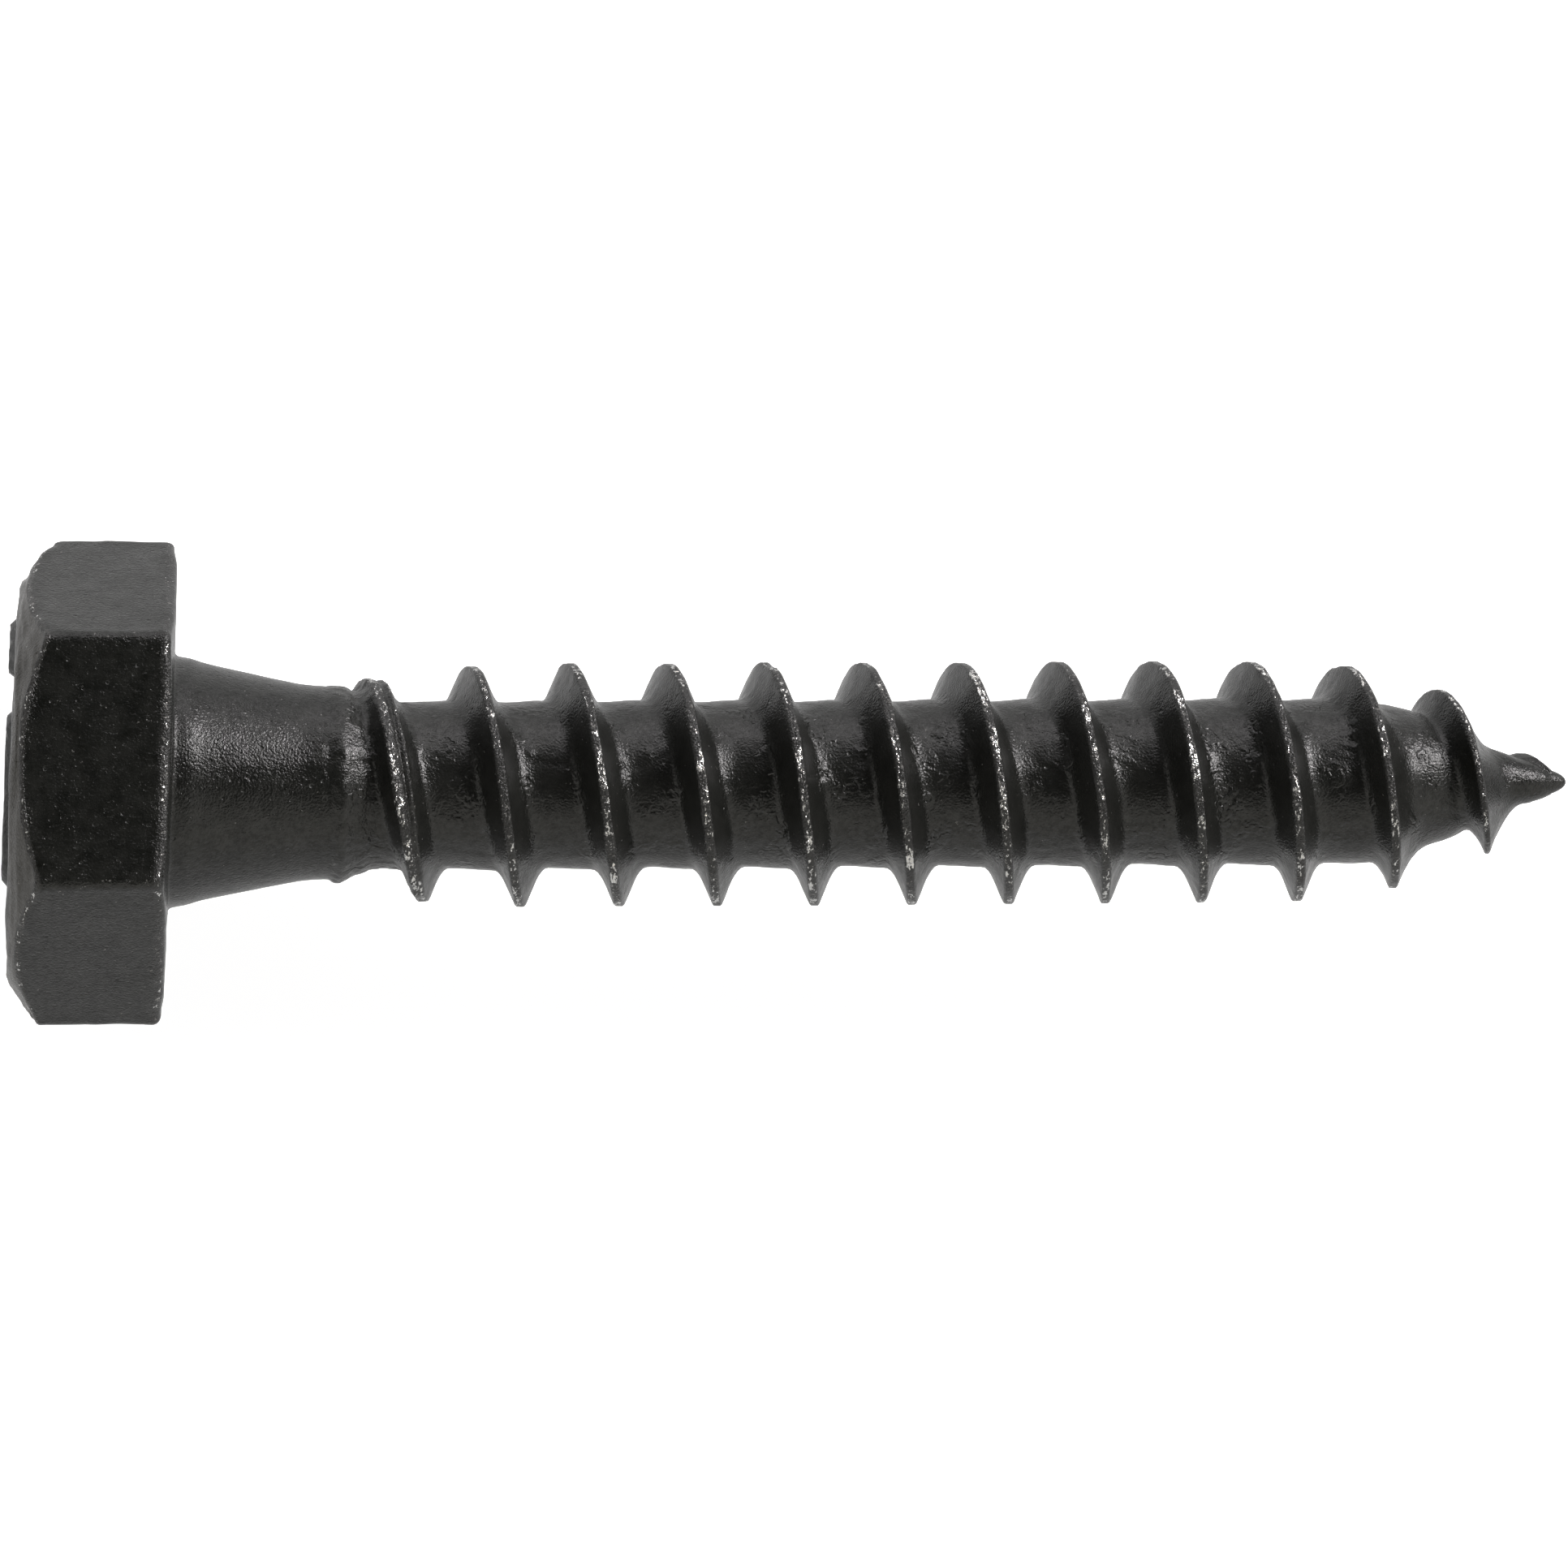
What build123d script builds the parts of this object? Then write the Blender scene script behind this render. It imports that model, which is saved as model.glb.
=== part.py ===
from build123d import *
import math
import os

# A hexagon-head lag screw, 1/4 in by 1-1/2 in, with a gimlet point. The real screw is one piece of
# steel, whose head is forged and whose thread is rolled, so it is one solid in one node.
#
# Frame: the origin is the middle of the bearing face, under the head. +X runs along the screw's
# axis to the point, and one flat of the hexagon faces +Z.

# Driving dimensions, in millimetres
across_flats = 10.85  # of the hexagon
head_height = 3.95  # from the bearing face to the plain top of the head
corner_radius = 0.35  # on the hexagon's six upright edges
bearing_edge_radius = 0.12  # where the flats meet the bearing face
chamfer_circle_radius = 4.72  # where the top chamfer starts
chamfer_angle = 29.0  # degrees, from the top of the head
mark_height = 0.2  # of the plain raised marks on the top of the head
mark_sink = 0.3  # how far a mark reaches into the head, so that it joins it
mark_width = 1.0
long_mark_length = 4.4
long_mark_centre = (-0.6, 2.0)  # (y, z)
short_mark_length = 1.5
short_mark_centre = (3.2, 2.0)

length = 36.5  # under the head, from the bearing face to the point
shank_top_radius = 3.14  # just under the head
neck_fillet_radius = 0.22  # between the bearing face and the shank
shank_bottom_radius = 2.48  # where the cone-shaped shank ends
shank_bottom_x = 3.7
collar_radius = 2.54  # low swelling that the thread rolls push up at the end of the shank
collar_x = 4.3
core_start_x = 5.1
core_radius = 2.155  # at the root of the thread
taper_start_x = 30.6  # where the core starts to narrow to the point
point_flat_radius = 0.08  # the blunt end of the point
shank_end_direction = (1, -0.1)  # how the shank's outline runs into its collar
point_end_direction = (1, -0.7)  # how the point's outline ends at the tip

pitch = 2.54  # ten threads to the inch, right-handed
thread_radius = 3.15  # at the crest
ridge_half_width = 0.6  # at the core
crest_half_width = 0.07
ridge_sink = 0.3  # how far the ridge reaches into the core
least_root_share = 0.4  # of the core's radius, below which the ridge's root never goes
sections_per_turn = 16
first_crest_x = 7.66  # where a crest stands on the +Y side of the axis
thread_start_x = 4.0
thread_end_x = 35.9

# (x, radius) along the gimlet point, from the parallel core to its tip
point_outline = [(taper_start_x, core_radius), (32.0, 1.93), (33.4, 1.4), (34.6, 0.86), (35.7, 0.5)]
whole_point = [*point_outline, (length, point_flat_radius)]
# (x, radius) along the thread's crest: it rises out of the shank and runs down the point
crest_outline = [
    (thread_start_x, 2.36),
    (5.1, 2.7),
    (6.4, 2.97),
    (7.7, 3.08),
    (10.2, thread_radius),
    (29.3, thread_radius),
    (30.5, 3.05),
    (31.8, 2.79),
    (33.1, 2.4),
    (34.3, 1.75),
    (thread_end_x, 0.45),
]


def between(outline, x):
    """The radius of an outline at x, in a straight line from each point to the next."""
    if x <= outline[0][0]:
        return outline[0][1]
    for (x0, r0), (x1, r1) in zip(outline, outline[1:]):
        if x <= x1:
            return r0 + (r1 - r0) * (x - x0) / (x1 - x0)
    return outline[-1][1]


def make_head():
    """The hexagon with its rounded corners and its chamfered top."""
    hexagon = RegularPolygon(across_flats / 2, 6, major_radius=False)
    hexagon = fillet(hexagon.vertices(), corner_radius)
    prism = extrude(Plane.YZ * hexagon, amount=-head_height)
    prism = fillet(prism.faces().sort_by(Axis.X)[-1].edges(), bearing_edge_radius)

    widest = across_flats  # a radius well outside the hexagon's corners
    chamfer_depth = (widest - chamfer_circle_radius) * math.tan(math.radians(chamfer_angle))
    chamfered = Polyline(
        (-head_height, 0),
        (-head_height, chamfer_circle_radius),
        (-head_height + chamfer_depth, widest),
        (0, widest),
        (0, 0),
        close=True,
    )
    return prism & revolve(make_face(chamfered), Axis.X)


def make_mark(mark_length, centre):
    """One raised bar with round ends on the top of the head, with no meaning of its own."""
    y, z = centre
    top = Plane(origin=(-head_height + mark_sink, y, z), x_dir=(0, 1, 0), z_dir=(-1, 0, 0))
    return extrude(top * SlotOverall(mark_length, mark_width), amount=mark_sink + mark_height)


def make_core():
    """The shank, its collar, the core under the thread and the point, turned about the axis."""
    along_axis = (1, 0)
    fillet_centre = (neck_fillet_radius, shank_top_radius + neck_fillet_radius)
    outline = [
        Line((0, 0), (0, fillet_centre[1])),
        CenterArc(fillet_centre, neck_fillet_radius, 180, 90),
        Line((neck_fillet_radius, shank_top_radius), (shank_bottom_x, shank_bottom_radius)),
        Spline(
            (shank_bottom_x, shank_bottom_radius),
            (collar_x, collar_radius),
            (core_start_x, core_radius),
            tangents=[shank_end_direction, along_axis],
        ),
        Line((core_start_x, core_radius), (taper_start_x, core_radius)),
        Spline(*whole_point, tangents=[along_axis, point_end_direction]),
        Line((length, point_flat_radius), (length, 0)),
        Line((length, 0), (0, 0)),
    ]
    return revolve(make_face(Curve() + outline), Axis.X)


def ridge_section(x):
    """The thread's cross-section where its crest is at x, in the plane through the axis there."""
    angle = 2 * math.pi * (x - first_crest_x) / pitch
    crest = between(crest_outline, x)
    core = between(whole_point, x)
    root = max(core - ridge_sink, core * least_root_share)
    slope = (ridge_half_width - crest_half_width) / (thread_radius - core_radius)
    half_root = crest_half_width + slope * (crest - root)
    corners = [
        (x - half_root, root),
        (x - crest_half_width, crest),
        (x + crest_half_width, crest),
        (x + half_root, root),
    ]
    points = [(along, r * math.cos(angle), r * math.sin(angle)) for along, r in corners]
    return Wire.make_polygon(points, close=True)


def make_turn(first_x, last_x):
    """One turn of the helical ridge, from first_x to last_x along the axis."""
    step = (last_x - first_x) / sections_per_turn
    return Solid.make_loft([ridge_section(first_x + i * step) for i in range(sections_per_turn + 1)])


def make_thread():
    """The ridge's turns, from where it leaves the shank to where it runs out at the point."""
    turns = math.ceil((thread_end_x - thread_start_x) / pitch)
    advance = (thread_end_x - thread_start_x) / turns
    starts = [thread_start_x + i * advance for i in range(turns)]
    return [make_turn(x, x + advance) for x in starts]


def make_lag_screw():
    """The whole screw as one solid."""
    head = make_head() + make_mark(long_mark_length, long_mark_centre)
    screw = head + make_mark(short_mark_length, short_mark_centre) + make_core()
    for turn in make_thread():
        screw += turn
    return screw


os.makedirs("parts", exist_ok=True)
lag_screw = make_lag_screw()
export_step(lag_screw, "parts/lag_screw.step")
solids = lag_screw.solids()
print("solids", len(solids), "volume", round(lag_screw.volume, 1), "valid", lag_screw.is_valid)
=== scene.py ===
"""A black hexagon-head lag screw on a light table: the mesh, its finish, the light and the camera."""

import math

import bpy
import numpy as np
from mathutils import Matrix, Vector


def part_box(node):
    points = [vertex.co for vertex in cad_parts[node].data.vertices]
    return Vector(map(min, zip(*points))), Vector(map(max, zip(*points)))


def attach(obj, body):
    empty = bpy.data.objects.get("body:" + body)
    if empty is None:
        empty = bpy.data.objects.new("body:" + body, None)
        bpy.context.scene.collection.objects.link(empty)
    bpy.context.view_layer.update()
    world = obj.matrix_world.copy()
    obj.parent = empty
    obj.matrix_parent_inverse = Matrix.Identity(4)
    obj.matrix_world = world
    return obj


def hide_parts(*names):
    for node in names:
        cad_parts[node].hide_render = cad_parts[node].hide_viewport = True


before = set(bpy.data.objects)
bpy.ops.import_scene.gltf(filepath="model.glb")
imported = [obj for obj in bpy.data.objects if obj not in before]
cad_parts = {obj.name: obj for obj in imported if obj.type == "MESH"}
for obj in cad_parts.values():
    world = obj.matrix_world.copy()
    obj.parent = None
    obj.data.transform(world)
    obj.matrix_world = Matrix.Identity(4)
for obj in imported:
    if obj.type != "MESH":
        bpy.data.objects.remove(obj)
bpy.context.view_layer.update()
NODE = "lag_screw"
MM = 0.001

# The frame's own sizes, in millimetres. The axis is +X, from the head to the point.
node_low, node_high = (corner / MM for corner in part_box(NODE))
FLAT_RADIUS = node_high.z  # from the axis to a flat of the hexagon
TIP_X = node_high.x

# The head, in millimetres
MARK_HEIGHT = 0.2  # of the raised bars, above its plain top
HEAD_TOP_X = node_low.x + MARK_HEIGHT
CORNER_RADIUS = 0.33
CHAMFER_CIRCLE_RADIUS = 5.05
CHAMFER_ANGLE = math.radians(34)
LONG_MARK = ((-0.6, 2.0), 4.4)  # centre (y, z) and length
SHORT_MARK = ((3.2, 2.0), 1.5)
MARK_WIDTH = 1.0
CORNER_DROP = 0.09  # how far the bearing face falls away at the hexagon's corners
BEARING_LEAN = 0.036  # how far the bearing face leans from square, as a slope towards +Y
TOP_LEAN = 0.038  # and the top
NECK_RADIUS = 3.22  # where the bearing face meets the fillet under the head
NECK_X = 0.28  # where that fillet has become the shank
STRAIGHT_X = 2.5  # where the shank no longer leans with the head or has its crowded columns
INNER_RING_RADIUS = 0.12  # of the innermost ring of faces on the top
BAR_SIDE = (-0.14, 0.06)  # where a raised bar's side starts and ends, measured outwards from its edge

# How far before and after each of the head's edges its rounding starts and ends
TOP_TRIM = (0.2, 0.2)
CHAMFER_TRIM = (0.1, 0.1)
BEARING_TRIM = (0.26, 0.22)
BEARING_TRIM_GROWTH = 0.04  # how much earlier it starts in the middle of a flat
NECK_TRIM = (0.15, 0.15)

# How worn it is, from 0 to 1: the chamfer, the upright corners, the rows over two edges and the point
CHAMFER_WEAR = 0.3
CORNER_WEAR = 0.4
CHAMFER_EDGE_WEAR = [0.35, 0.8, 0.9, 0.9, 0.9, 0.8, 0.35]
BEARING_EDGE_WEAR = [0.2, 0.55, 0.75, 0.82, 0.82, 0.6, 0.35, 0.2]
TIP_WEAR = 0.3

# The thread, in millimetres
PITCH = 2.54
FIRST_CREST_X = 7.66  # where a crest stands on the +Y side of the axis
FLANK_SLOPE = 2.4  # radial rise over axial run
ROOT_FILLET = [(5.0, 0.42), (29.0, 0.45), (33.5, 0.75)]  # (x, size) of the curve at the thread's foot
TIP_FILLET = (30.5, 33.5)  # between which x it grows further, on the side towards the point
TIP_FILLET_GROWTH = 0.7  # and by what share
CREST_ROUNDING = 0.06
NICK_DEPTH = 0.05  # of the small dips in the crest
VALLEY_RISE = 0.2  # how steeply the core curves up to the thread's foot, on the side towards the point
VALLEY_REACH = 1.25  # and how far from the crest that starts
VALLEY_START = (5.5, 7.0)  # between which x the core takes its shape between two turns
VALLEY_END = (34.0, 32.5)  # and between which it loses its rise
VALLEY_TILT = 0.03  # how far the core rises and falls between two turns
TIP_ADVANCE = [(34.4, 0.0), (35.3, 0.2)]  # (x, how much earlier the thread comes round at the point)
FIRST_TURN = (5.3, 5.6, 6.0, 6.4)  # x where the tilted part starts, is full, fades and ends
FIRST_TURN_TILT = 0.25  # slope of the wide crest there
COLLAR_RIDGE = (4.28, 0.17, 0.1)  # where the thread runs out: x, half-width, height on the -Y side

# Craters in the core: place along the axis, angle from +Y towards +Z in degrees, radius, depth
DENTS = [
    (18.25, 77, 0.2, 0.045),
    (18.1, 66, 0.3, 0.02),
    (30.4, 67, 0.17, 0.06),
    (30.3, 74, 0.12, 0.03),
    (30.9, 78, 0.11, 0.03),
    (30.2, 60, 0.1, 0.03),
    (8.9, 40, 0.16, 0.03),
    (33.3, 80, 0.14, 0.03),
]
CORE_RADIUS = 2.155
CREASE_DEPTH = 0.06  # of the folds that rolling left in the core
DENT_BOWL = 0.7  # width of a crater's bowl, as a share of its radius
DENT_LIP = (0.5, 1.15, 0.3)  # its lip's height, as a share of the depth, and place and width

# Layers of noise that push the surface in and out: (height, size, seed)
HEAD_WAVES = [(0.02, 2.4, 1), (0.014, 0.7, 2)]
WORN_EDGE_WAVES = [(0.04, 0.45, 3)]
LUMPS = [(0.006, 0.9, 4), (0.003, 0.32, 5)]
THREADED_LUMPS = [(0.008, 0.9, 4), (0.006, 0.32, 5)]
CREST_RAGGEDNESS = [(0.014, 0.35, 11), (0.0084, 0.15, 12)]
CREST_WANDER = [(0.015, 0.9, 16)]
CHAMFER_RIDGES = [(0.038, 0.22, 21), (0.018, 0.1, 22)]
THREAD_START_LUMPS = [(0.02, 0.22, 23), (0.018, 0.12, 24)]

# Where along the axis the masks of that noise and of the finish start or end, in the order of ramp
HEAD_END = (0.3, -0.1)
CORE_START = (3.9, 4.6)
THREAD_START = (4.08, 4.14, 6.0, 6.5)  # start, full, fading, end
THREADED = (4.0, 4.6, 31.0, 34.0)
RIDGE_REACH = 0.2  # how far from the chamfer its ridges and its painted sheen still show
CHAMFER_SHEEN_REACH = 0.08

# How the mesh is laid out
COLUMNS = 180  # round the axis
HEAD_CROWDING = 0.75  # how strongly the columns are drawn towards the hexagon's corners
SHANK_RINGS = 27
HELIX_START_X = 3.9  # between these two its rows follow the thread
HELIX_END_X = 36.1
HELIX_TURNS = range(-4, 14)  # enough to cover that length in every column
RING_GAP = 0.02  # the least, between the helix's first or last row and the plain ring beside it
# Axial places of the helix's rows across half a pitch, closest together at the crest
HALF_PITCH_ROWS = [0.0, 0.04, 0.08, 0.12, 0.17, 0.23, 0.3, 0.37]
HALF_PITCH_ROWS += [0.44, 0.52, 0.61, 0.71, 0.82, 0.94, 1.06, 1.17]
TIP_RINGS = [HELIX_END_X, 36.2, 36.29, 36.37, 36.43, 36.47, TIP_X]
TIP_BULGE = 0.01

# (x, radius) of the shank, the core and the point, without the thread
CORE_OUTLINE = [
    (NECK_X, 3.18),
    (0.4, 3.165),
    (0.8, 3.045),
    (1.5, 2.89),
    (2.2, 2.745),
    (3.0, 2.585),
    (3.35, 2.52),
    (3.7, 2.488),
    (4.02, 2.475),
    (4.1, 2.495),
    (4.4, 2.485),
    (4.56, 2.435),
    (4.66, 2.36),
    (4.76, 2.355),
    (4.9, 2.27),
    (5.1, 2.19),
    (5.5, 2.155),
    (30.4, 2.15),
    (31.4, 2.07),
    (32.2, 1.88),
    (33.3, 1.48),
    (34.2, 1.0),
    (34.9, 0.72),
    (35.8, 0.45),
    (36.1, 0.33),
    (36.3, 0.24),
    (36.4, 0.18),
    (36.47, 0.11),
    (TIP_X, 0.04),
]
# (x, radius) along the thread's crest
CREST_OUTLINE = [
    (3.9, 2.3),
    (4.6, 2.5),
    (5.1, 2.68),
    (5.75, 2.8),
    (6.4, 2.97),
    (7.7, 3.08),
    (10.2, 3.14),
    (29.3, 3.14),
    (30.5, 3.05),
    (31.8, 2.79),
    (33.1, 2.4),
    (34.4, 1.85),
    (34.8, 1.35),
    (35.2, 0.9),
    (35.4, 0.68),
    (35.6, 0.48),
    (36.0, 0.2),
]
# (x, half-width) of the crest: it is wide, with a groove along it, where the thread starts
CREST_HALF_WIDTH = [
    (4.6, 0.3),
    (5.2, 0.24),
    (5.7, 0.25),
    (6.0, 0.2),
    (6.4, 0.12),
    (8.0, 0.105),
    (30.0, 0.105),
    (35.0, 0.06),
]
GROOVE_DEPTH = [(4.9, 0.0), (5.2, 0.08), (5.9, 0.08), (6.3, 0.0)]  # (x, depth)
GROOVE_OFFSET = 0.1  # from the crest's middle
GROOVE_HALF_WIDTH = 0.06
# (x, offset towards +Y) of the axis: the head and shank sit a little off the thread's axis
AXIS_OFFSET = [(-4.1, 0.14), (0.0, 0.13), (4.0, 0.085), (6.5, 0.0), (30.0, 0.0), (TIP_X, -0.04)]

# Linear colours of the finish
COAT_DARK = (0.006, 0.0065, 0.0055)
COAT_LIGHT = (0.019, 0.0195, 0.0175)
THREAD_COAT = (0.03, 0.03, 0.028)
# painted sheen: a paler coat on the chamfer's face stands in for the light that face catches
CHAMFER_SHEEN_COAT = (0.07, 0.067, 0.06)
RUBBED_COAT = (0.028, 0.028, 0.027)
DUST = (0.25, 0.245, 0.235)
BARE_STEEL = (0.60, 0.60, 0.59)
BUMP_HEIGHT = 0.019 * MM

# The tent's walls, by Z of the direction they are seen in: between which two heights they fade,
# and their radiance below and above them
NEAR_WALL = (0.74, 0.86, 0.78, 0.02)  # on the -Y side
FAR_WALL = (0.05, 0.4, 0.3, 0.02)
# The tent's lamps: direction, cosine of the angle where their glow ends, radiance
LAMPS = [
    ((0.66, 0.47, 0.58), 0.96, 14.0),
    ((0.63, 0.57, 0.53), 0.93, 1.6),
    ((0.75, 0.45, 0.48), 0.93, 2.0),
    ((0.10, 0.93, 0.34), 0.9, 1.7),
    ((-0.40, 0.84, 0.36), 0.965, 3.0),
    ((0.11, 0.78, 0.62), 0.84, 0.45),
]
WALL_BLEND = (-0.15, 0.35)  # between which Y of the direction the near wall turns into the far one
COLOUR_BLEND = (-0.7, 0.7)  # and their colours change
NEAR_COLOUR = (1.0, 0.975, 0.91)
FAR_COLOUR = (1.0, 0.97, 0.98)
TABLE_GLOW = 0.54

# The camera: millimetres, and degrees by which its view leans towards the point and towards +Y
TARGET_X = 15.81
DISTANCE = 150
LEAN_ALONG = 6.2
LEAN_ASIDE = 5.75
ROLL = -0.262
LENS = 132.86
SENSOR_WIDTH = 36
# The picture's tones, and how they come out
TONE_CURVE = [(0.3, 0.3), (0.45, 0.5), (0.61, 1.0)]


def curve_through(points, x):
    """A smooth curve through (x, value) points that never overshoots them."""
    xs, ys = np.array(points, float).T
    steps = np.diff(xs)
    slopes = np.diff(ys) / steps
    tangents = np.concatenate([slopes[:1], np.zeros(len(xs) - 2), slopes[-1:]])
    same_way = slopes[:-1] * slopes[1:] > 0
    before, after = slopes[:-1][same_way], slopes[1:][same_way]
    tangents[1:-1][same_way] = 2 * before * after / (before + after)
    x = np.clip(np.asarray(x, float), xs[0], xs[-1])
    i = np.clip(np.searchsorted(xs, x) - 1, 0, len(steps) - 1)
    h = steps[i]
    t = (x - xs[i]) / h
    return (
        ys[i] * (1 + 2 * t) * (1 - t) ** 2
        + h * tangents[i] * t * (1 - t) ** 2
        + ys[i + 1] * t * t * (3 - 2 * t)
        + h * tangents[i + 1] * t * t * (t - 1)
    )


def ramp(start, end, value):
    """0 at start and 1 at end, smoothly."""
    t = np.clip((value - start) / (end - start), 0, 1)
    return t * t * (3 - 2 * t)


def window(value, start, full, fading, end):
    """0 outside start to end and 1 from full to fading, smoothly."""
    return ramp(start, full, value) * ramp(end, fading, value)


def smooth_max(a, b, reach):
    return np.maximum(a, b) + np.maximum(reach - np.abs(a - b), 0) ** 2 / (4 * reach)


def smooth_min(a, b, reach):
    return -smooth_max(-a, -b, reach)


def noise(points, size, seed):
    """Smooth random values from -1 to 1 at the rows of points, with features about size across."""
    table = np.random.default_rng(seed).uniform(-1, 1, 4096)
    cell = np.floor(points / size).astype(np.int64)
    t = points / size - cell
    t = t * t * t * (t * (t * 6 - 15) + 10)
    total = np.zeros(len(points))
    for corner in np.ndindex(2, 2, 2):
        x, y, z = (cell + corner).T
        key = (x * 73856093 ^ y * 19349663 ^ z * 83492791) & 4095
        weight = np.prod(np.where(corner, t, 1 - t), axis=1)
        total += weight * table[key]
    return total


def layered(points, layers):
    """Layers of noise added up, each given as (height, size, seed)."""
    return sum(height * noise(points, size, seed) for height, size, seed in layers)


# The mesh's columns stand at these angles round the axis, from +Y towards +Z
ANGLES = 2 * math.pi * np.arange(COLUMNS) / COLUMNS


def column_angles(crowding):
    """The columns' angles, drawn towards the hexagon's corners by crowding, from 0 to under 1."""
    return ANGLES - crowding * np.sin(6 * ANGLES) / 6


def hexagon_radius(angles):
    """From the axis to the rounded hexagon's side, at each angle."""
    from_corner = np.abs((angles + math.pi / 6) % (math.pi / 3) - math.pi / 6)
    flat = FLAT_RADIUS / np.cos(math.pi / 6 - from_corner)
    centre = (FLAT_RADIUS - CORNER_RADIUS) / math.cos(math.pi / 6)
    inside = np.maximum(CORNER_RADIUS**2 - (centre * np.sin(from_corner)) ** 2, 0)
    rounded = centre * np.cos(from_corner) + np.sqrt(inside)
    arc_ends = math.atan(CORNER_RADIUS * 0.5 / (centre + CORNER_RADIUS * math.cos(math.pi / 6)))
    return np.where(from_corner < arc_ends, rounded, flat)


def rounded_rows(corners, trims, runs, arcs):
    """Rows of (x, radius) along an outline, with its corners rounded off.

    corners: one (2, COLUMNS) array for each corner. trims: how far before and after each inner
    corner the rounding starts and ends.
    runs: rows on each straight run. arcs: rows round each inner corner.
    """
    rows = []
    start = corners[0]
    for i in range(1, len(corners)):
        last = i == len(corners) - 1
        trim_in, trim_out = (0, 0) if last else trims[i - 1]
        along = corners[i] - corners[i - 1]
        along = along / np.maximum(np.hypot(*along), 1e-9)
        end = corners[i] - along * trim_in
        count = runs[i - 1]
        rows += [start + (end - start) * k / count for k in range(count)]
        if last:
            return rows
        out = corners[i + 1] - corners[i]
        out = out / np.maximum(np.hypot(*out), 1e-9)
        start = corners[i] + out * trim_out
        for k in range(arcs[i - 1]):
            t = k / arcs[i - 1]
            rows.append(end * (1 - t) ** 2 + corners[i] * 2 * t * (1 - t) + start * t * t)
    return rows


def bar_distance(y, z, mark):
    """From each point to the middle line of a raised bar that lies along Y."""
    (centre_y, centre_z), bar_length = mark
    half = (bar_length - MARK_WIDTH) / 2
    return np.hypot(np.maximum(np.abs(y - centre_y) - half, 0), z - centre_z)


def head_rows():
    """The head's rows, from the middle of its top over its side to the neck: points and wear."""
    angles = column_angles(HEAD_CROWDING)
    side = hexagon_radius(angles)
    from_corner = np.abs((angles + math.pi / 6) % (math.pi / 3) - math.pi / 6) / (math.pi / 6)
    flat_middle = ramp(0.1, 0.9, from_corner)
    ones = np.ones(COLUMNS)
    chamfer_x = HEAD_TOP_X + (side - CHAMFER_CIRCLE_RADIUS) * math.tan(CHAMFER_ANGLE)
    corners = [
        np.array([HEAD_TOP_X * ones, INNER_RING_RADIUS * ones]),
        np.array([HEAD_TOP_X * ones, CHAMFER_CIRCLE_RADIUS * ones]),
        np.array([chamfer_x, side]),
        np.array([-CORNER_DROP * ramp(5.6, 6.2, side), side]),
        np.array([0 * ones, NECK_RADIUS * ones]),
        np.array([NECK_X * ones, CORE_OUTLINE[0][1] * ones]),
    ]
    bearing_trim = (BEARING_TRIM[0] + BEARING_TRIM_GROWTH * flat_middle, BEARING_TRIM[1])
    trims = [TOP_TRIM, CHAMFER_TRIM, bearing_trim, NECK_TRIM]
    runs = [38, 12, 22, 12, 2]
    arcs = [4, 5, 7, 6]
    rows = rounded_rows(corners, trims, runs, arcs)
    chamfer_edge = runs[0] + arcs[0] + runs[1]
    bearing_edge = chamfer_edge + arcs[1] + runs[2]
    wear_rows = np.zeros(len(rows))
    wear_rows[runs[0] : chamfer_edge] = CHAMFER_WEAR
    for edge, edge_wear in ((chamfer_edge, CHAMFER_EDGE_WEAR), (bearing_edge, BEARING_EDGE_WEAR)):
        wear_rows[edge - 1 : edge - 1 + len(edge_wear)] = edge_wear
    points, wear = [], []
    for (x, r), row_wear in zip(rows, wear_rows):
        y, z = r * np.cos(angles), r * np.sin(angles)
        nearest = np.minimum(bar_distance(y, z, LONG_MARK), bar_distance(y, z, SHORT_MARK))
        raised = (1 - ramp(*BAR_SIDE, nearest - MARK_WIDTH / 2)) * (x < HEAD_TOP_X + 0.05)
        points.append(np.stack([x - MARK_HEIGHT * raised, y, z], axis=1))
        corner_wear = CORNER_WEAR * ramp(0.12, 0.0, from_corner) * ((x > chamfer_x) & (x < 0))
        wear.append(np.maximum(row_wear, corner_wear))
    return points, wear


def shank_rows():
    """Plain rings from the neck to where the rows start to follow the thread."""
    points, wear = [], []
    for x in np.linspace(NECK_X, HELIX_START_X, SHANK_RINGS):
        angles = column_angles(HEAD_CROWDING * (1 - ramp(0.0, STRAIGHT_X, x)))
        r = curve_through(CORE_OUTLINE, x)
        points.append(np.stack([x + 0 * angles, r * np.cos(angles), r * np.sin(angles)], axis=1))
        wear.append(0 * angles)
    return points, wear


def crest_top(crest_x, across, crest_points):
    """The radius of the crest's ragged top."""
    nicks = ramp(0.4, 0.9, noise(crest_points, 0.8, 13))
    top = curve_through(CREST_OUTLINE, crest_x) + layered(crest_points, CREST_RAGGEDNESS)
    top -= NICK_DEPTH * nicks
    return top - FIRST_TURN_TILT * window(crest_x, *FIRST_TURN) * across


def core_surface(x, angles, across):
    """The radius of the core: it curves between the thread's turns, and has a ridge at its collar."""
    under_thread = ramp(*VALLEY_START, x)
    leading = (across > 0) * under_thread * ramp(*VALLEY_END, x)
    curve = np.abs(np.sin(angles)) * leading * np.maximum(VALLEY_REACH - across, 0) ** 2
    core = curve_through(CORE_OUTLINE, x)
    core = core - VALLEY_TILT * np.sin(2 * math.pi * across / PITCH) * under_thread
    core += VALLEY_RISE * curve
    ridge_x, ridge_width, ridge_height = COLLAR_RIDGE
    ridge = np.exp(-(((x - ridge_x) / ridge_width) ** 2))
    return core + ridge_height * (0.5 - 0.5 * np.cos(angles)) * ridge


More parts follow.
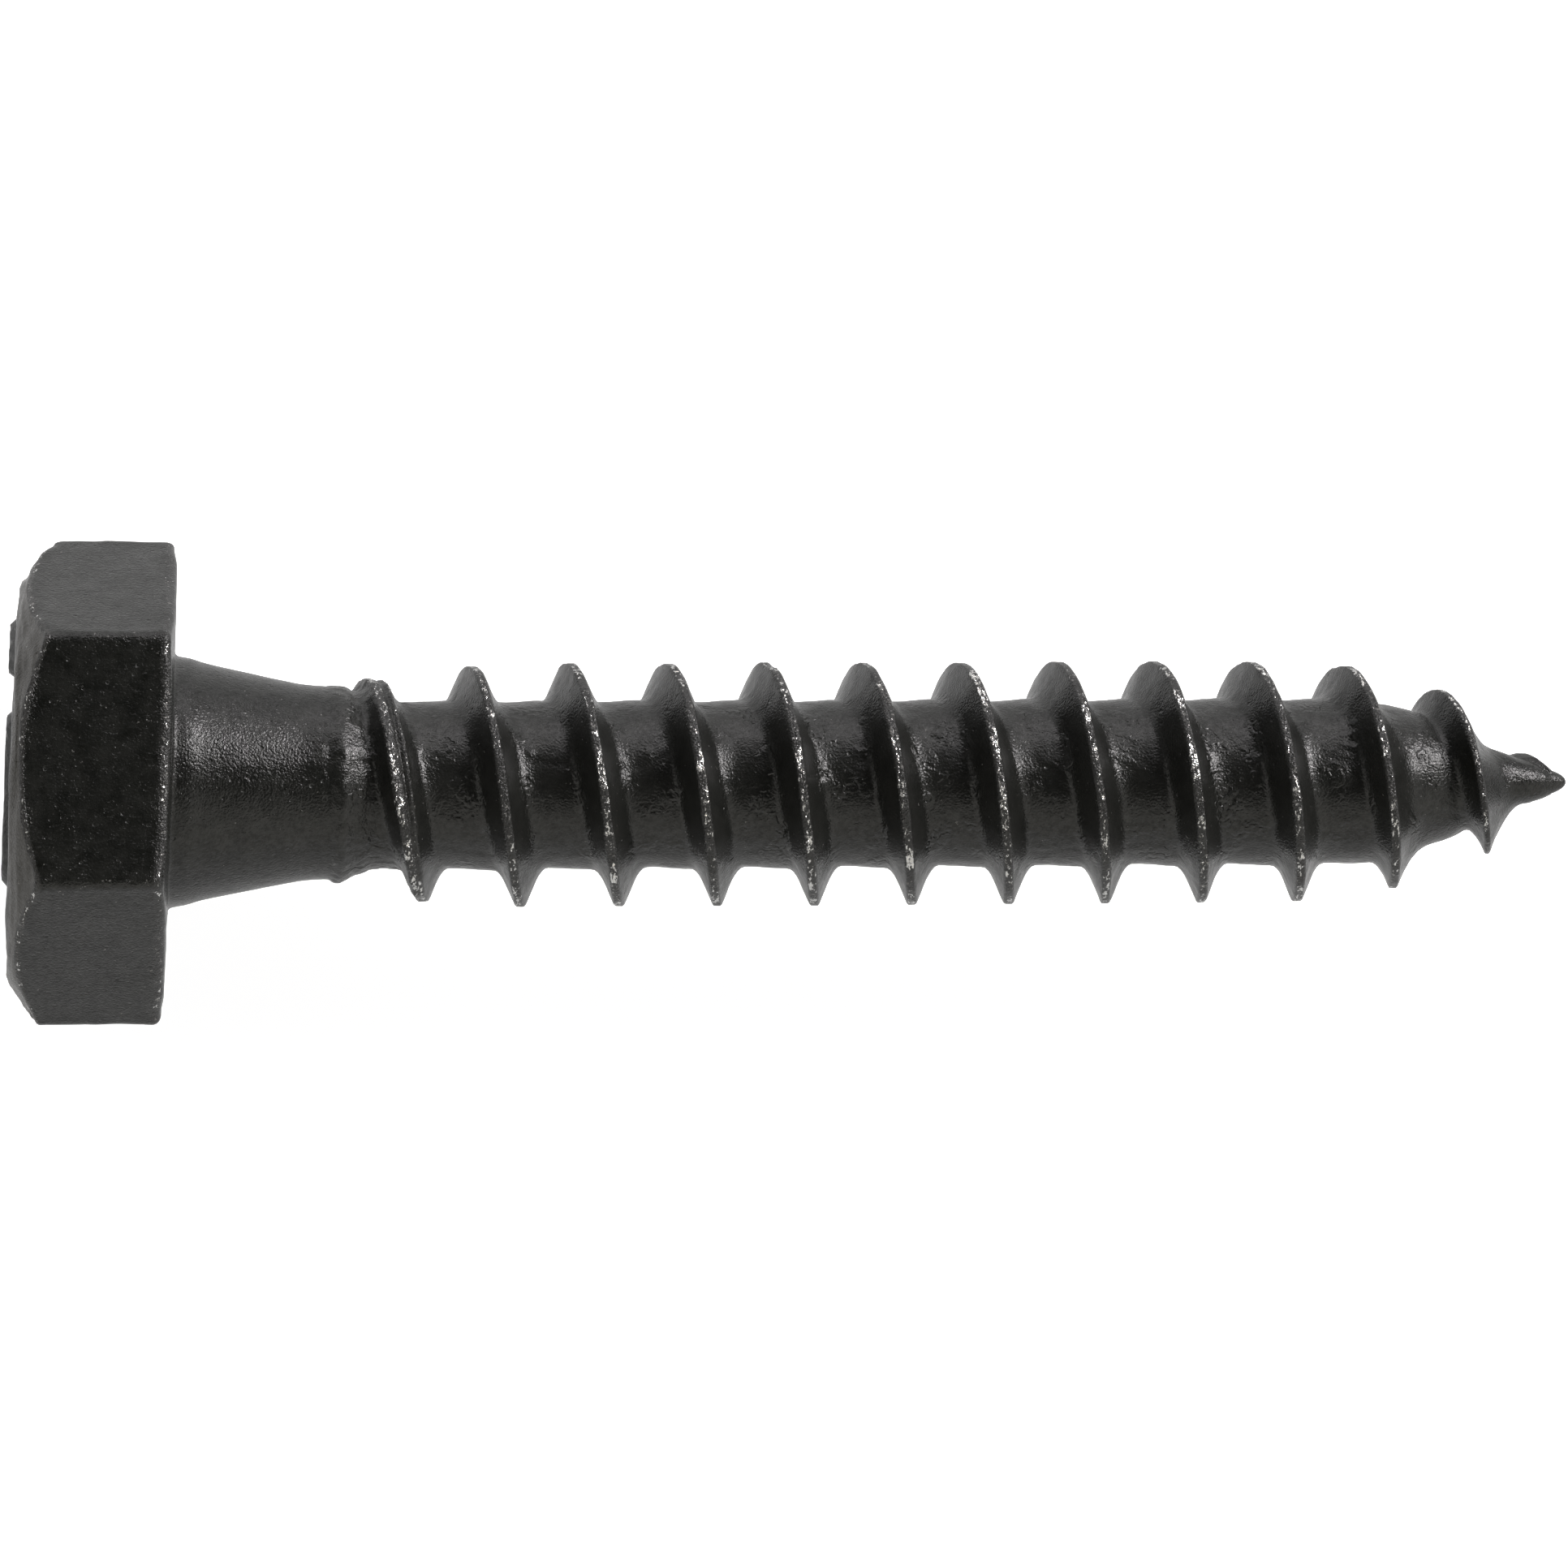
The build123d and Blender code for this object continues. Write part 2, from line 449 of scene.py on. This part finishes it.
def thread_surface(x, angles, across):
    """Radius and crest wear at x, where across is the axial distance from the crest's middle."""
    across = across + curve_through(TIP_ADVANCE, x)
    crest_x = x - across
    crest_points = np.stack([crest_x, 3 * np.cos(angles), 3 * np.sin(angles)], axis=1)
    crest = curve_through(CREST_OUTLINE, crest_x)
    half_width = curve_through(CREST_HALF_WIDTH, crest_x)
    core = core_surface(x, angles, across)
    from_crest = np.abs(across + layered(crest_points, CREST_WANDER))
    flank = crest - (from_crest - half_width) * FLANK_SLOPE
    growth = np.where(across > 0, 1 + TIP_FILLET_GROWTH * ramp(*TIP_FILLET, x), 1.0)
    ridge = smooth_max(flank, core, curve_through(ROOT_FILLET, x) * growth)
    top = np.maximum(crest_top(crest_x, across, crest_points), core)
    r = smooth_min(ridge, top, CREST_ROUNDING)
    in_groove = np.exp(-(((across - GROOVE_OFFSET) / GROOVE_HALF_WIDTH) ** 2))
    groove = curve_through(GROOVE_DEPTH, crest_x) * in_groove
    stands = ramp(0.15, 0.5, crest - core)
    wear = stands * ramp(0.07, -0.03, from_crest - half_width) * (1 - 7 * groove)
    return r - groove, wear


def thread_columns():
    """For each column, the helical rows inside the threaded length: their numbers, points and wear."""
    half = np.array(HALF_PITCH_ROWS)
    across_rows = np.concatenate([-half[:0:-1], half])
    across_rows = np.concatenate([[-PITCH / 2], across_rows])
    per_turn = len(across_rows)
    turns = np.array(HELIX_TURNS)
    rows = (turns[:, None] * per_turn + np.arange(per_turn)).ravel()
    across = np.tile(across_rows, len(turns))
    start_x = FIRST_CREST_X + PITCH * np.repeat(turns, per_turn) + across
    columns = []
    for angle in ANGLES:
        x = start_x + PITCH * angle / (2 * math.pi)
        keep = (x > HELIX_START_X + RING_GAP) & (x < HELIX_END_X - RING_GAP)
        x, numbers = x[keep], rows[keep]
        r, wear = thread_surface(x, np.full(len(x), angle), across[keep])
        points = np.stack([x, r * math.cos(angle), r * math.sin(angle)], axis=1)
        columns.append((numbers, points, wear))
    return columns, per_turn


def tip_rows():
    """Plain rings from the end of the thread to the blunt point."""
    points, wear = [], []
    for x in TIP_RINGS:
        r = curve_through(CORE_OUTLINE, x)
        points.append(np.stack([x + 0 * ANGLES, r * np.cos(ANGLES), r * np.sin(ANGLES)], axis=1))
        wear.append(0 * ANGLES + TIP_WEAR)
    return points, wear


class MeshMaker:
    """Gathers vertices, their wear and faces."""

    def __init__(self):
        self.points, self.wear, self.faces = [], [], []
        self.count = 0

    def add(self, points, wear):
        first = self.count
        self.points.append(np.asarray(points, float).reshape(-1, 3))
        self.wear.append(np.asarray(wear, float).reshape(-1))
        self.count += len(self.points[-1])
        return np.arange(first, self.count)

    def join_rings(self, a, b):
        for j in range(len(a)):
            k = (j + 1) % len(a)
            self.faces.append((a[j], a[k], b[k], b[j]))

    def close_ring(self, ring, centre):
        for j in range(len(ring)):
            self.faces.append((ring[j], ring[(j + 1) % len(ring)], centre))

    def join_columns(self, left, right, start, end):
        """Fills between two columns, given as dicts of row number to vertex, and two end rings."""
        low_left, high_left = min(left), max(left)
        low_right, high_right = min(right), max(right)
        fan = [start[1]] + [right[m] for m in range(low_right, low_left + 1)]
        for a, b in zip(fan, fan[1:]):
            self.faces.append((start[0], a, b))
        self.faces.append((start[0], right[low_left], left[low_left]))
        for m in range(low_left, high_right):
            self.faces.append((left[m], right[m], right[m + 1], left[m + 1]))
        fan = [left[m] for m in range(high_right, high_left + 1)] + [end[0]]
        for a, b in zip(fan, fan[1:]):
            self.faces.append((end[1], b, a))
        self.faces.append((end[1], left[high_right], right[high_right]))


def lay_out_screw():
    """The whole screw's surface as one closed mesh, in millimetres, before its roughness."""
    maker = MeshMaker()
    head_points, head_wear = head_rows()
    shank_points, shank_wear = shank_rows()
    rings = [maker.add(p, w) for p, w in zip(head_points + shank_points, head_wear + shank_wear)]
    top = maker.add([[HEAD_TOP_X, 0, 0]], [0])[0]
    maker.close_ring(rings[0][::-1], top)
    for a, b in zip(rings, rings[1:]):
        maker.join_rings(a, b)

    tip_points, tip_wear = tip_rows()
    tips = [maker.add(p, w) for p, w in zip(tip_points, tip_wear)]
    for a, b in zip(tips, tips[1:]):
        maker.join_rings(a, b)
    maker.close_ring(tips[-1], maker.add([[TIP_X + TIP_BULGE, 0, 0]], [TIP_WEAR])[0])

    columns, per_turn = thread_columns()
    numbered = []
    for numbers, points, wear in columns:
        numbered.append(dict(zip(numbers.tolist(), maker.add(points, wear).tolist())))
    numbered.append({m - per_turn: v for m, v in numbered[0].items()})
    for j in range(COLUMNS):
        k = (j + 1) % COLUMNS
        start = (rings[-1][j], rings[-1][k])
        end = (tips[0][j], tips[0][k])
        maker.join_columns(numbered[j], numbered[j + 1], start, end)
    return np.concatenate(maker.points), np.concatenate(maker.wear), maker.faces


def bend(points):
    """The head leans a little and sits off the thread's axis, as on a forged screw."""
    x, y, z = points.T
    lean = np.interp(x, [HEAD_TOP_X, 0.0, STRAIGHT_X], [TOP_LEAN, BEARING_LEAN, 0.0])
    return np.stack([x + lean * y, y + curve_through(AXIS_OFFSET, x), z], axis=1)


def dents(points):
    """Small round craters, each with a raised lip."""
    x, y, z = points.T
    angle = np.arctan2(z, y)
    lip_height, lip_place, lip_width = DENT_LIP
    total = np.zeros(len(x))
    for dent_x, dent_angle, radius, depth in DENTS:
        around = (angle - math.radians(dent_angle)) * CORE_RADIUS
        distance = np.hypot(x - dent_x, around) / radius
        bowl = -depth * np.exp(-((distance / DENT_BOWL) ** 4))
        lip = lip_height * depth * np.exp(-(((distance - lip_place) / lip_width) ** 2))
        total += bowl + lip
    return total


def on_chamfer(points, reach):
    """1 on the head's chamfer and 0 further from it than reach, for points before the head leaned."""
    x, y, z = points.T
    radius = np.hypot(y, z)
    chamfer_x = HEAD_TOP_X + (radius - CHAMFER_CIRCLE_RADIUS) * math.tan(CHAMFER_ANGLE)
    return ramp(reach, 0.4 * reach, np.abs(x - chamfer_x)) * ramp(4.5, 4.8, radius)


def chamfer_ridges(points):
    """Ragged ridges that run round the head's chamfer."""
    x, y, z = points.T
    unrolled = np.stack([np.hypot(y, z), 0.8 * np.arctan2(z, y), 0 * x], axis=1)
    return on_chamfer(points, RIDGE_REACH) * layered(unrolled, CHAMFER_RIDGES)


def on_core(points):
    """1 on the core between the thread's turns, 0 on the head, the shank and the thread itself."""
    x, y, z = points.T
    above_core = np.hypot(y, z) - curve_through(CORE_OUTLINE, x)
    return ramp(*CORE_START, x) * ramp(0.3, 0.12, above_core)


def roughen(points, straight, normals, wear):
    """Pushes the surface in and out: the waviness of the forging, ridges, lumps and dents.

    straight: the points before the head leaned.
    """
    x, y, z = points.T
    on_head = ramp(*HEAD_END, x)
    waves = on_head * layered(points, HEAD_WAVES)
    waves += on_head * wear * layered(points, WORN_EDGE_WAVES)
    waves += chamfer_ridges(straight)
    creased = ramp(-0.1, 0.4, noise(points, 1.6, 7))
    creases = np.maximum(0.25 - np.abs(noise(points, 0.7, 6)), 0) * creased
    lumps = layered(points, LUMPS)
    lumps += ramp(*CORE_START, x) * layered(points, THREADED_LUMPS)
    lumps += window(x, *THREAD_START) * layered(points, THREAD_START_LUMPS)
    lumps += (dents(points) - CREASE_DEPTH * creases) * on_core(points)
    return points + normals * (waves + lumps)[:, None]


def build_screw():
    """The screw as one mesh object."""
    points, wear, faces = lay_out_screw()
    straight = points
    points = bend(straight)
    mesh = bpy.data.meshes.new("lag_screw_mesh")
    whole_faces = [tuple(int(v) for v in face) for face in faces]
    mesh.from_pydata((points * MM).tolist(), [], whole_faces)
    mesh.validate()
    mesh.update()
    normals = np.zeros(len(mesh.vertices) * 3)
    mesh.vertex_normals.foreach_get("vector", normals)
    rough_points = roughen(points, straight, normals.reshape(-1, 3), wear)
    mesh.vertices.foreach_set("co", (rough_points * MM).ravel())
    threaded = window(points[:, 0], *THREADED)
    values = {
        "wear": wear,
        "threaded": threaded,
        "folded": threaded * on_core(points),
        # where the chamfer's face gets its painted sheen
        "chamfer_sheen": on_chamfer(straight, CHAMFER_SHEEN_REACH),
    }
    for name, value in values.items():
        mesh.attributes.new(name, "FLOAT", "POINT").data.foreach_set("value", value)
    mesh.polygons.foreach_set("use_smooth", [True] * len(mesh.polygons))
    mesh.update()
    screw = bpy.data.objects.new("lag_screw_forged", mesh)
    bpy.context.scene.collection.objects.link(screw)
    return screw


class Nodes:
    """Short calls for a material's or the world's node tree."""

    def __init__(self, owner):
        owner.use_nodes = True
        self.tree = owner.node_tree
        self.tree.nodes.clear()

    def new(self, kind, inputs=None, **settings):
        node = self.tree.nodes.new("ShaderNode" + kind)
        for name, value in settings.items():
            setattr(node, name, value)
        for name, value in (inputs or {}).items():
            if isinstance(value, bpy.types.NodeSocket):
                self.tree.links.new(value, node.inputs[name])
            else:
                node.inputs[name].default_value = value
        return node

    def noise(self, coordinates, feature_mm, detail=2.0, roughness=0.5):
        scale = 1 / (feature_mm * MM)
        inputs = {"Vector": coordinates, "Scale": scale, "Detail": detail, "Roughness": roughness}
        return self.new("TexNoise", inputs).outputs["Fac"]

    def remap(self, value, low, high, to_low=0.0, to_high=1.0):
        inputs = {0: value, 1: low, 2: high, 3: to_low, 4: to_high}
        return self.new("MapRange", inputs, interpolation_type="SMOOTHSTEP").outputs[0]

    def math(self, operation, a, b=0.0):
        return self.new("Math", {0: a, 1: b}, operation=operation).outputs[0]

    def mix_colour(self, factor, a, b):
        node = self.new("Mix", {0: factor}, data_type="RGBA")
        for socket, value in ((node.inputs[6], a), (node.inputs[7], b)):
            if isinstance(value, bpy.types.NodeSocket):
                self.tree.links.new(value, socket)
            else:
                socket.default_value = (*value, 1)
        return node.outputs[2]


def stretched(n, place, scale):
    """Coordinates in which a texture is drawn out along the axes whose scale is small."""
    return n.new("Mapping", {"Vector": place, "Scale": scale}).outputs["Vector"]


def bare_specks(n, place, wear, patches):
    """1 where the coating is worn through to the steel, which is in specks on worn edges only."""
    speckle = n.noise(stretched(n, place, (1, 0.5, 0.5)), 0.08, detail=3.0, roughness=0.65)
    worn = n.math("ADD", n.math("MULTIPLY", wear, 0.42), n.math("MULTIPLY", patches, 0.5))
    return n.remap(n.math("ADD", worn, speckle), 1.24, 1.28)


def coat_colour(n, place, wear, threaded, chamfer_sheen):
    """Near-black and mottled, duller where it is rubbed, with a painted sheen on the chamfer and
    specks of pale dust.
    """
    shade = n.remap(n.noise(place, 0.6, detail=5.0, roughness=0.7), 0.25, 0.75)
    coat = n.mix_colour(shade, COAT_DARK, COAT_LIGHT)
    coat = n.mix_colour(n.math("MULTIPLY", threaded, 0.25), coat, THREAD_COAT)
    # Painted sheen: the chamfer's face is made paler for the light it catches; its worn chips come
    # from the wear instead
    coat = n.mix_colour(n.math("MULTIPLY", chamfer_sheen, 0.9), coat, CHAMFER_SHEEN_COAT)
    coat = n.mix_colour(n.remap(wear, 0.4, 0.8, 0.0, 0.8), coat, RUBBED_COAT)
    dust = n.noise(place, 0.14, detail=2.0, roughness=0.7)
    dust = n.remap(n.math("ADD", dust, n.math("MULTIPLY", wear, 0.1)), 0.71, 0.76)
    return n.mix_colour(n.math("MULTIPLY", dust, 0.6), coat, DUST)


def core_folds(n, place, folded, patches):
    """Height of the fine folds that rolling left in the core."""
    fold = n.math("SUBTRACT", n.noise(place, 0.5, detail=2.0, roughness=0.6), 0.5)
    folds = n.remap(n.math("ABSOLUTE", fold), 0.0, 0.09)
    folds = n.math("MULTIPLY", folds, n.remap(patches, 0.5, 0.65))
    return n.math("MULTIPLY", folds, n.math("MULTIPLY", folded, 1.1))


def coat_relief(n, place, wear, threaded, folded, patches):
    """Height of the coat's grain, pits, streaks, nicks and folds, and of the glittering worn edges."""
    smooth_part = n.math("SUBTRACT", 1.0, threaded)
    pits = n.new("TexVoronoi", {"Vector": place, "Scale": 1 / (0.45 * MM)}, feature="F1")
    pits = n.remap(pits.outputs["Distance"], 0.05, 0.16)
    streaks = n.noise(stretched(n, place, (0.15, 1, 1)), 0.09, detail=2.0)
    streaks = n.math("MULTIPLY", streaks, smooth_part)
    nicks = n.remap(n.noise(stretched(n, place, (0.6, 1, 1)), 0.11), 0.28, 0.4)
    nicks = n.math("MULTIPLY", nicks, smooth_part)
    sparkle = n.noise(place, 0.05, detail=1.0)
    height = n.noise(place, 0.06, detail=2.0, roughness=0.5)
    for layer, weight in ((pits, 0.65), (streaks, 0.28), (nicks, 0.3)):
        height = n.math("ADD", height, n.math("MULTIPLY", layer, weight))
    height = n.math("ADD", height, core_folds(n, place, folded, patches))
    return n.math("ADD", height, n.math("MULTIPLY", sparkle, n.math("MULTIPLY", wear, 2.2)))


def black_finish():
    """Semi-gloss black coating with fine grain and pits, worn to bright steel along the crests."""
    material = bpy.data.materials.new("black_finish")
    n = Nodes(material)
    place = n.new("TexCoord").outputs["Object"]
    masks = {}
    for name in ("wear", "threaded", "folded", "chamfer_sheen"):
        masks[name] = n.new("Attribute", attribute_name=name).outputs["Fac"]
    wear, threaded = masks["wear"], masks["threaded"]
    patches = n.noise(place, 0.8, detail=1.0)
    bare = bare_specks(n, place, wear, patches)
    coat = coat_colour(n, place, wear, threaded, masks["chamfer_sheen"])
    relief = coat_relief(n, place, wear, threaded, masks["folded"], patches)
    roughness = n.remap(n.noise(place, 0.35, detail=3.0), 0.3, 0.7, 0.16, 0.26)
    gloss = n.noise(place, 0.13, detail=3.0, roughness=0.7)
    bump = n.new("Bump", {"Height": relief, "Strength": 1.0, "Distance": BUMP_HEIGHT})
    inputs = {
        "Base Color": n.mix_colour(bare, coat, BARE_STEEL),
        "Metallic": bare,
        "Roughness": n.math("ADD", roughness, n.math("MULTIPLY", bare, -0.08)),
        "IOR": 1.5,
        "Specular IOR Level": n.remap(gloss, 0.32, 0.62, 0.36, 0.56),
        "Normal": bump.outputs["Normal"],
    }
    shader = n.new("BsdfPrincipled", inputs)
    n.new("OutputMaterial", {"Surface": shader.outputs["BSDF"]})
    return material


def light_table():
    """A pale floor at the head's lowest flat, lit from within as a light table is."""
    half_size = 1.6
    signs = [(-1, -1), (1, -1), (1, 1), (-1, 1)]
    corners = [(along * half_size, aside * half_size) for along, aside in signs]
    gap = 0.04 * MM
    z = -FLAT_RADIUS * MM - gap
    mesh = bpy.data.meshes.new("light_table_mesh")
    mesh.from_pydata([(x, y, z) for x, y in corners], [], [(0, 1, 2, 3)])
    table = bpy.data.objects.new("light_table", mesh)
    bpy.context.scene.collection.objects.link(table)
    material = bpy.data.materials.new("light_table")
    n = Nodes(material)
    inputs = {
        "Base Color": (0.2, 0.2, 0.2, 1),
        "Roughness": 0.9,
        "Emission Color": (1, 1, 1, 1),
        "Emission Strength": TABLE_GLOW,
    }
    shader = n.new("BsdfPrincipled", inputs)
    n.new("OutputMaterial", {"Surface": shader.outputs["BSDF"]})
    mesh.materials.append(material)


def light_tent():
    """Soft pale walls round the screw, low on its +Y side, dark overhead, with soft lamps in them."""
    world = bpy.data.worlds.new("light_tent")
    bpy.context.scene.world = world
    n = Nodes(world)
    direction = n.new("TexCoord").outputs["Generated"]
    sides = n.new("SeparateXYZ", {0: direction})
    near_wall = n.remap(sides.outputs["Z"], *NEAR_WALL)
    far_wall = n.remap(sides.outputs["Z"], *FAR_WALL)
    far = n.remap(sides.outputs["Y"], *WALL_BLEND)
    step = n.math("SUBTRACT", far_wall, near_wall)
    strength = n.math("ADD", near_wall, n.math("MULTIPLY", far, step))
    for towards, edge, radiance in LAMPS:
        towards = Vector(towards).normalized()
        closeness = n.new("VectorMath", {0: direction, 1: towards}, operation="DOT_PRODUCT")
        glow = n.remap(closeness.outputs["Value"], edge, 1.0, 0.0, radiance)
        strength = n.math("ADD", strength, glow)
    side = n.remap(sides.outputs["Y"], *COLOUR_BLEND)
    colour = n.mix_colour(side, NEAR_COLOUR, FAR_COLOUR)
    background = n.new("Background", {"Color": colour, "Strength": strength})
    n.new("OutputWorld", {"Surface": background.outputs["Background"]})


def camera_over_screw():
    """The camera looks almost straight down, from a little on the head's side and the -Y side."""
    along, aside, roll = (math.radians(angle) for angle in (LEAN_ALONG, LEAN_ASIDE, ROLL))
    target = Vector((TARGET_X * MM, 0, 0))
    down = math.cos(along)
    view = Vector((math.sin(along), down * math.sin(aside), -down * math.cos(aside)))
    right = (Vector((1, 0, 0)) - view * view.x).normalized()
    up = right.cross(view)
    right, up = (
        right * math.cos(roll) + up * math.sin(roll),
        up * math.cos(roll) - right * math.sin(roll),
    )
    data = bpy.data.cameras.new("camera")
    data.sensor_width = SENSOR_WIDTH
    data.lens = LENS
    data.clip_start = 0.01
    data.clip_end = 10
    camera = bpy.data.objects.new("camera", data)
    turn = Matrix((right, up, -view)).transposed().to_4x4()
    camera.matrix_world = Matrix.Translation(target - view * DISTANCE * MM) @ turn
    bpy.context.scene.collection.objects.link(camera)
    bpy.context.scene.camera = camera


def white_out_the_table():
    """The pale table comes out white, and dark tones stay within a tenth of what they are."""
    view = bpy.context.scene.view_settings
    view.view_transform = "Standard"
    view.use_curve_mapping = True
    curve = view.curve_mapping.curves[3]
    for tone, shown in TONE_CURVE:
        curve.points.new(tone, shown)
    view.curve_mapping.update()


screw = build_screw()
screw.data.materials.append(black_finish())
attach(screw, "root")
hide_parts(NODE)

light_table()
light_tent()
camera_over_screw()
white_out_the_table()
